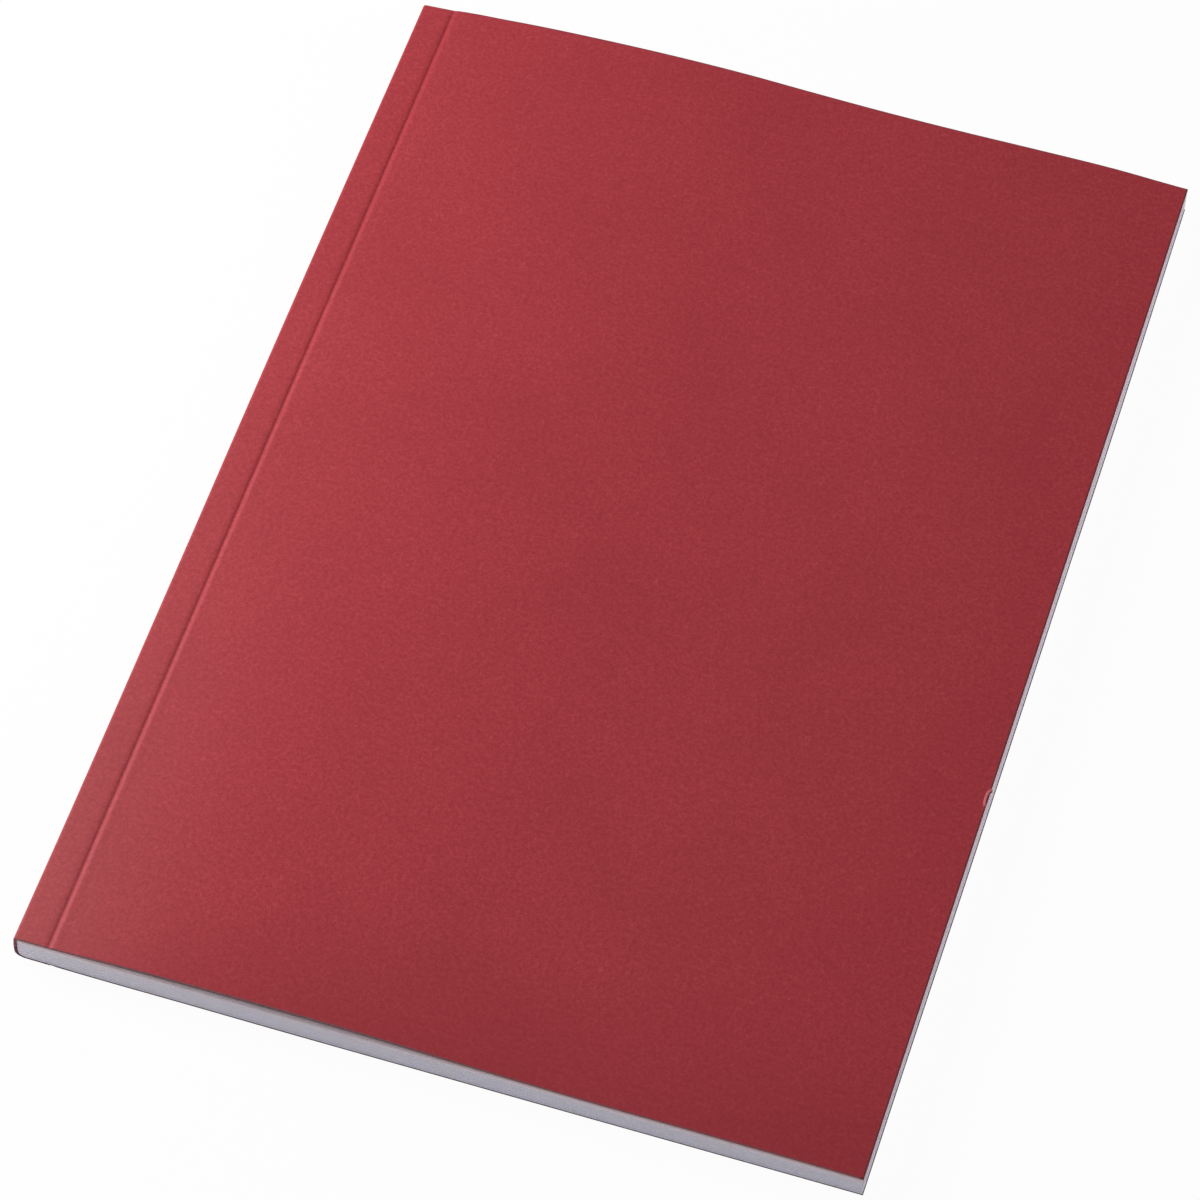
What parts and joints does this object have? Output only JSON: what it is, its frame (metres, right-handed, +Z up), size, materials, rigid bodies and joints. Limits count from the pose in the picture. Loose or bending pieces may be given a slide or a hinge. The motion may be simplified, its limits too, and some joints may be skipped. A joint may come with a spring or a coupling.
{
  "type": "softcover notebook",
  "caption": "Softcover notebook: white leaves glued at a square spine in a wrapped red card cover that folds at a score line beside the spine.",
  "frame": {"origin": "middle of the closed notebook's underside", "axes": "+X from the spine to the fore-edge, +Y from tail to head, +Z up through the front cover"},
  "size_m": [0.148, 0.21, 0.0092],
  "materials": {
    "red_card": "matte",
    "white_paper": "matte",
    "binding_glue": "satin"
  },
  "bodies": {
    "bound_spine": {"cover_spine": "red_card", "binding_margin": "white_paper", "spine_glue": "binding_glue", "front_side_glue": "binding_glue", "back_side_glue": "binding_glue"},
    "front_panel": {"front_cover": "red_card"},
    "back_panel": {"back_cover": "red_card"},
    "leaf_01": {"leaf_01": "white_paper"},
    "leaf_02": {"leaf_02": "white_paper"},
    "leaf_03": {"leaf_03": "white_paper"},
    "leaf_04": {"leaf_04": "white_paper"},
    "leaf_05": {"leaf_05": "white_paper"},
    "leaf_06": {"leaf_06": "white_paper"},
    "leaf_07": {"leaf_07": "white_paper"},
    "leaf_08": {"leaf_08": "white_paper"},
    "leaf_09": {"leaf_09": "white_paper"},
    "leaf_10": {"leaf_10": "white_paper"},
    "leaf_11": {"leaf_11": "white_paper"},
    "leaf_12": {"leaf_12": "white_paper"},
    "leaf_13": {"leaf_13": "white_paper"},
    "leaf_14": {"leaf_14": "white_paper"},
    "leaf_15": {"leaf_15": "white_paper"},
    "leaf_16": {"leaf_16": "white_paper"},
    "leaf_17": {"leaf_17": "white_paper"},
    "leaf_18": {"leaf_18": "white_paper"},
    "leaf_19": {"leaf_19": "white_paper"},
    "leaf_20": {"leaf_20": "white_paper"},
    "leaf_21": {"leaf_21": "white_paper"},
    "leaf_22": {"leaf_22": "white_paper"},
    "leaf_23": {"leaf_23": "white_paper"},
    "leaf_24": {"leaf_24": "white_paper"},
    "leaf_25": {"leaf_25": "white_paper"},
    "leaf_26": {"leaf_26": "white_paper"},
    "leaf_27": {"leaf_27": "white_paper"},
    "leaf_28": {"leaf_28": "white_paper"},
    "leaf_29": {"leaf_29": "white_paper"},
    "leaf_30": {"leaf_30": "white_paper"},
    "leaf_31": {"leaf_31": "white_paper"},
    "leaf_32": {"leaf_32": "white_paper"},
    "leaf_33": {"leaf_33": "white_paper"},
    "leaf_34": {"leaf_34": "white_paper"},
    "leaf_35": {"leaf_35": "white_paper"},
    "leaf_36": {"leaf_36": "white_paper"},
    "leaf_37": {"leaf_37": "white_paper"},
    "leaf_38": {"leaf_38": "white_paper"},
    "leaf_39": {"leaf_39": "white_paper"},
    "leaf_40": {"leaf_40": "white_paper"},
    "leaf_41": {"leaf_41": "white_paper"},
    "leaf_42": {"leaf_42": "white_paper"},
    "leaf_43": {"leaf_43": "white_paper"},
    "leaf_44": {"leaf_44": "white_paper"},
    "leaf_45": {"leaf_45": "white_paper"},
    "leaf_46": {"leaf_46": "white_paper"},
    "leaf_47": {"leaf_47": "white_paper"},
    "leaf_48": {"leaf_48": "white_paper"}
  },
  "joints": [
    {"name": "front_cover_hinge", "type": "hinge", "parent": "bound_spine", "child": "front_panel", "pos_m": [-0.0682, 0, 0.00632], "axis": [0, -1, 0], "range_deg": [0, 165]},
    {"name": "back_cover_hinge", "type": "hinge", "parent": "bound_spine", "child": "back_panel", "pos_m": [-0.0682, 0, 0], "axis": [0, 1, 0], "range_deg": [0, 165]},
    {"name": "leaf_01_turn", "type": "hinge", "parent": "bound_spine", "child": "leaf_01", "pos_m": [-0.0665, 0, 0.00592], "axis": [0, -1, 0], "range_deg": [0, 148]},
    {"name": "leaf_02_turn", "type": "hinge", "parent": "bound_spine", "child": "leaf_02", "pos_m": [-0.06609, 0, 0.00581], "axis": [0, -1, 0], "range_deg": [0, 146.43]},
    {"name": "leaf_03_turn", "type": "hinge", "parent": "bound_spine", "child": "leaf_03", "pos_m": [-0.06569, 0, 0.00569], "axis": [0, -1, 0], "range_deg": [0, 144.87]},
    {"name": "leaf_04_turn", "type": "hinge", "parent": "bound_spine", "child": "leaf_04", "pos_m": [-0.06532, 0, 0.00558], "axis": [0, -1, 0], "range_deg": [0, 143.3]},
    {"name": "leaf_05_turn", "type": "hinge", "parent": "bound_spine", "child": "leaf_05", "pos_m": [-0.06496, 0, 0.00546], "axis": [0, -1, 0], "range_deg": [0, 141.74]},
    {"name": "leaf_06_turn", "type": "hinge", "parent": "bound_spine", "child": "leaf_06", "pos_m": [-0.06462, 0, 0.00534], "axis": [0, -1, 0], "range_deg": [0, 140.17]},
    {"name": "leaf_07_turn", "type": "hinge", "parent": "bound_spine", "child": "leaf_07", "pos_m": [-0.0643, 0, 0.00523], "axis": [0, -1, 0], "range_deg": [0, 138.61]},
    {"name": "leaf_08_turn", "type": "hinge", "parent": "bound_spine", "child": "leaf_08", "pos_m": [-0.06398, 0, 0.00511], "axis": [0, -1, 0], "range_deg": [0, 137.04]},
    {"name": "leaf_09_turn", "type": "hinge", "parent": "bound_spine", "child": "leaf_09", "pos_m": [-0.06368, 0, 0.005], "axis": [0, -1, 0], "range_deg": [0, 135.48]},
    {"name": "leaf_10_turn", "type": "hinge", "parent": "bound_spine", "child": "leaf_10", "pos_m": [-0.06339, 0, 0.00488], "axis": [0, -1, 0], "range_deg": [0, 133.91]},
    {"name": "leaf_11_turn", "type": "hinge", "parent": "bound_spine", "child": "leaf_11", "pos_m": [-0.06311, 0, 0.00477], "axis": [0, -1, 0], "range_deg": [0, 132.35]},
    {"name": "leaf_12_turn", "type": "hinge", "parent": "bound_spine", "child": "leaf_12", "pos_m": [-0.06284, 0, 0.00466], "axis": [0, -1, 0], "range_deg": [0, 130.78]},
    {"name": "leaf_13_turn", "type": "hinge", "parent": "bound_spine", "child": "leaf_13", "pos_m": [-0.06259, 0, 0.00454], "axis": [0, -1, 0], "range_deg": [0, 129.22]},
    {"name": "leaf_14_turn", "type": "hinge", "parent": "bound_spine", "child": "leaf_14", "pos_m": [-0.06234, 0, 0.00443], "axis": [0, -1, 0], "range_deg": [0, 127.65]},
    {"name": "leaf_15_turn", "type": "hinge", "parent": "bound_spine", "child": "leaf_15", "pos_m": [-0.06209, 0, 0.00431], "axis": [0, -1, 0], "range_deg": [0, 126.09]},
    {"name": "leaf_16_turn", "type": "hinge", "parent": "bound_spine", "child": "leaf_16", "pos_m": [-0.06186, 0, 0.00419], "axis": [0, -1, 0], "range_deg": [0, 124.52]},
    {"name": "leaf_17_turn", "type": "hinge", "parent": "bound_spine", "child": "leaf_17", "pos_m": [-0.06164, 0, 0.00408], "axis": [0, -1, 0], "range_deg": [0, 122.96]},
    {"name": "leaf_18_turn", "type": "hinge", "parent": "bound_spine", "child": "leaf_18", "pos_m": [-0.06142, 0, 0.00396], "axis": [0, -1, 0], "range_deg": [0, 121.39]},
    {"name": "leaf_19_turn", "type": "hinge", "parent": "bound_spine", "child": "leaf_19", "pos_m": [-0.06121, 0, 0.00385], "axis": [0, -1, 0], "range_deg": [0, 119.83]},
    {"name": "leaf_20_turn", "type": "hinge", "parent": "bound_spine", "child": "leaf_20", "pos_m": [-0.061, 0, 0.00374], "axis": [0, -1, 0], "range_deg": [0, 118.26]},
    {"name": "leaf_21_turn", "type": "hinge", "parent": "bound_spine", "child": "leaf_21", "pos_m": [-0.06081, 0, 0.00362], "axis": [0, -1, 0], "range_deg": [0, 116.7]},
    {"name": "leaf_22_turn", "type": "hinge", "parent": "bound_spine", "child": "leaf_22", "pos_m": [-0.06061, 0, 0.0035], "axis": [0, -1, 0], "range_deg": [0, 115.13]},
    {"name": "leaf_23_turn", "type": "hinge", "parent": "bound_spine", "child": "leaf_23", "pos_m": [-0.06043, 0, 0.00339], "axis": [0, -1, 0], "range_deg": [0, 113.57]},
    {"name": "leaf_24_turn", "type": "hinge", "parent": "bound_spine", "child": "leaf_24", "pos_m": [-0.06025, 0, 0.00328], "axis": [0, -1, 0], "range_deg": [0, 112]},
    {"name": "leaf_25_turn", "type": "hinge", "parent": "bound_spine", "child": "leaf_25", "pos_m": [-0.06007, 0, 0.00316], "axis": [0, -1, 0], "range_deg": [0, 38]},
    {"name": "leaf_26_turn", "type": "hinge", "parent": "bound_spine", "child": "leaf_26", "pos_m": [-0.06003, 0, 0.00304], "axis": [0, -1, 0], "range_deg": [0, 36.43]},
    {"name": "leaf_27_turn", "type": "hinge", "parent": "bound_spine", "child": "leaf_27", "pos_m": [-0.05999, 0, 0.00293], "axis": [0, -1, 0], "range_deg": [0, 34.87]},
    {"name": "leaf_28_turn", "type": "hinge", "parent": "bound_spine", "child": "leaf_28", "pos_m": [-0.05995, 0, 0.00281], "axis": [0, -1, 0], "range_deg": [0, 33.3]},
    {"name": "leaf_29_turn", "type": "hinge", "parent": "bound_spine", "child": "leaf_29", "pos_m": [-0.05992, 0, 0.0027], "axis": [0, -1, 0], "range_deg": [0, 31.74]},
    {"name": "leaf_30_turn", "type": "hinge", "parent": "bound_spine", "child": "leaf_30", "pos_m": [-0.05989, 0, 0.00259], "axis": [0, -1, 0], "range_deg": [0, 30.17]},
    {"name": "leaf_31_turn", "type": "hinge", "parent": "bound_spine", "child": "leaf_31", "pos_m": [-0.05985, 0, 0.00247], "axis": [0, -1, 0], "range_deg": [0, 28.61]},
    {"name": "leaf_32_turn", "type": "hinge", "parent": "bound_spine", "child": "leaf_32", "pos_m": [-0.05982, 0, 0.00235], "axis": [0, -1, 0], "range_deg": [0, 27.04]},
    {"name": "leaf_33_turn", "type": "hinge", "parent": "bound_spine", "child": "leaf_33", "pos_m": [-0.0598, 0, 0.00224], "axis": [0, -1, 0], "range_deg": [0, 25.48]},
    {"name": "leaf_34_turn", "type": "hinge", "parent": "bound_spine", "child": "leaf_34", "pos_m": [-0.05977, 0, 0.00213], "axis": [0, -1, 0], "range_deg": [0, 23.91]},
    {"name": "leaf_35_turn", "type": "hinge", "parent": "bound_spine", "child": "leaf_35", "pos_m": [-0.05974, 0, 0.00201], "axis": [0, -1, 0], "range_deg": [0, 22.35]},
    {"name": "leaf_36_turn", "type": "hinge", "parent": "bound_spine", "child": "leaf_36", "pos_m": [-0.05972, 0, 0.00189], "axis": [0, -1, 0], "range_deg": [0, 20.78]},
    {"name": "leaf_37_turn", "type": "hinge", "parent": "bound_spine", "child": "leaf_37", "pos_m": [-0.0597, 0, 0.00178], "axis": [0, -1, 0], "range_deg": [0, 19.22]},
    {"name": "leaf_38_turn", "type": "hinge", "parent": "bound_spine", "child": "leaf_38", "pos_m": [-0.05968, 0, 0.00167], "axis": [0, -1, 0], "range_deg": [0, 17.65]},
    {"name": "leaf_39_turn", "type": "hinge", "parent": "bound_spine", "child": "leaf_39", "pos_m": [-0.05966, 0, 0.00155], "axis": [0, -1, 0], "range_deg": [0, 16.09]},
    {"name": "leaf_40_turn", "type": "hinge", "parent": "bound_spine", "child": "leaf_40", "pos_m": [-0.05964, 0, 0.00144], "axis": [0, -1, 0], "range_deg": [0, 14.52]},
    {"name": "leaf_41_turn", "type": "hinge", "parent": "bound_spine", "child": "leaf_41", "pos_m": [-0.05963, 0, 0.00132], "axis": [0, -1, 0], "range_deg": [0, 12.96]},
    {"name": "leaf_42_turn", "type": "hinge", "parent": "bound_spine", "child": "leaf_42", "pos_m": [-0.05962, 0, 0.0012], "axis": [0, -1, 0], "range_deg": [0, 11.39]},
    {"name": "leaf_43_turn", "type": "hinge", "parent": "bound_spine", "child": "leaf_43", "pos_m": [-0.0596, 0, 0.00109], "axis": [0, -1, 0], "range_deg": [0, 9.83]},
    {"name": "leaf_44_turn", "type": "hinge", "parent": "bound_spine", "child": "leaf_44", "pos_m": [-0.05959, 0, 0.00097], "axis": [0, -1, 0], "range_deg": [0, 8.26]},
    {"name": "leaf_45_turn", "type": "hinge", "parent": "bound_spine", "child": "leaf_45", "pos_m": [-0.05958, 0, 0.00086], "axis": [0, -1, 0], "range_deg": [0, 6.69]},
    {"name": "leaf_46_turn", "type": "hinge", "parent": "bound_spine", "child": "leaf_46", "pos_m": [-0.05958, 0, 0.00075], "axis": [0, -1, 0], "range_deg": [0, 5.13]},
    {"name": "leaf_47_turn", "type": "hinge", "parent": "bound_spine", "child": "leaf_47", "pos_m": [-0.05957, 0, 0.00063], "axis": [0, -1, 0], "range_deg": [0, 3.56]},
    {"name": "leaf_48_turn", "type": "hinge", "parent": "bound_spine", "child": "leaf_48", "pos_m": [-0.05957, 0, 0.00052], "axis": [0, -1, 0], "range_deg": [0, 2]}
  ],
  "couplings": [
    {"joint": "leaf_01_turn", "follows": "front_cover_hinge", "ratio": 0.89696},
    {"joint": "leaf_02_turn", "follows": "front_cover_hinge", "ratio": 0.88748},
    {"joint": "leaf_03_turn", "follows": "front_cover_hinge", "ratio": 0.87799},
    {"joint": "leaf_04_turn", "follows": "front_cover_hinge", "ratio": 0.86851},
    {"joint": "leaf_05_turn", "follows": "front_cover_hinge", "ratio": 0.85902},
    {"joint": "leaf_06_turn", "follows": "front_cover_hinge", "ratio": 0.84953},
    {"joint": "leaf_07_turn", "follows": "front_cover_hinge", "ratio": 0.84005},
    {"joint": "leaf_08_turn", "follows": "front_cover_hinge", "ratio": 0.83056},
    {"joint": "leaf_09_turn", "follows": "front_cover_hinge", "ratio": 0.82108},
    {"joint": "leaf_10_turn", "follows": "front_cover_hinge", "ratio": 0.81159},
    {"joint": "leaf_11_turn", "follows": "front_cover_hinge", "ratio": 0.8021},
    {"joint": "leaf_12_turn", "follows": "front_cover_hinge", "ratio": 0.79262},
    {"joint": "leaf_13_turn", "follows": "front_cover_hinge", "ratio": 0.78313},
    {"joint": "leaf_14_turn", "follows": "front_cover_hinge", "ratio": 0.77364},
    {"joint": "leaf_15_turn", "follows": "front_cover_hinge", "ratio": 0.76416},
    {"joint": "leaf_16_turn", "follows": "front_cover_hinge", "ratio": 0.75467},
    {"joint": "leaf_17_turn", "follows": "front_cover_hinge", "ratio": 0.74519},
    {"joint": "leaf_18_turn", "follows": "front_cover_hinge", "ratio": 0.7357},
    {"joint": "leaf_19_turn", "follows": "front_cover_hinge", "ratio": 0.72621},
    {"joint": "leaf_20_turn", "follows": "front_cover_hinge", "ratio": 0.71673},
    {"joint": "leaf_21_turn", "follows": "front_cover_hinge", "ratio": 0.70724},
    {"joint": "leaf_22_turn", "follows": "front_cover_hinge", "ratio": 0.69776},
    {"joint": "leaf_23_turn", "follows": "front_cover_hinge", "ratio": 0.68827},
    {"joint": "leaf_24_turn", "follows": "front_cover_hinge", "ratio": 0.67878},
    {"joint": "leaf_25_turn", "follows": "front_cover_hinge", "ratio": 0.2303},
    {"joint": "leaf_26_turn", "follows": "front_cover_hinge", "ratio": 0.22081},
    {"joint": "leaf_27_turn", "follows": "front_cover_hinge", "ratio": 0.21133},
    {"joint": "leaf_28_turn", "follows": "front_cover_hinge", "ratio": 0.20184},
    {"joint": "leaf_29_turn", "follows": "front_cover_hinge", "ratio": 0.19235},
    {"joint": "leaf_30_turn", "follows": "front_cover_hinge", "ratio": 0.18287},
    {"joint": "leaf_31_turn", "follows": "front_cover_hinge", "ratio": 0.17338},
    {"joint": "leaf_32_turn", "follows": "front_cover_hinge", "ratio": 0.16389},
    {"joint": "leaf_33_turn", "follows": "front_cover_hinge", "ratio": 0.15441},
    {"joint": "leaf_34_turn", "follows": "front_cover_hinge", "ratio": 0.14492},
    {"joint": "leaf_35_turn", "follows": "front_cover_hinge", "ratio": 0.13544},
    {"joint": "leaf_36_turn", "follows": "front_cover_hinge", "ratio": 0.12595},
    {"joint": "leaf_37_turn", "follows": "front_cover_hinge", "ratio": 0.11646},
    {"joint": "leaf_38_turn", "follows": "front_cover_hinge", "ratio": 0.10698},
    {"joint": "leaf_39_turn", "follows": "front_cover_hinge", "ratio": 0.09749},
    {"joint": "leaf_40_turn", "follows": "front_cover_hinge", "ratio": 0.08801},
    {"joint": "leaf_41_turn", "follows": "front_cover_hinge", "ratio": 0.07852},
    {"joint": "leaf_42_turn", "follows": "front_cover_hinge", "ratio": 0.06903},
    {"joint": "leaf_43_turn", "follows": "front_cover_hinge", "ratio": 0.05955},
    {"joint": "leaf_44_turn", "follows": "front_cover_hinge", "ratio": 0.05006},
    {"joint": "leaf_45_turn", "follows": "front_cover_hinge", "ratio": 0.04057},
    {"joint": "leaf_46_turn", "follows": "front_cover_hinge", "ratio": 0.03109},
    {"joint": "leaf_47_turn", "follows": "front_cover_hinge", "ratio": 0.0216},
    {"joint": "leaf_48_turn", "follows": "front_cover_hinge", "ratio": 0.01212}
  ]
}
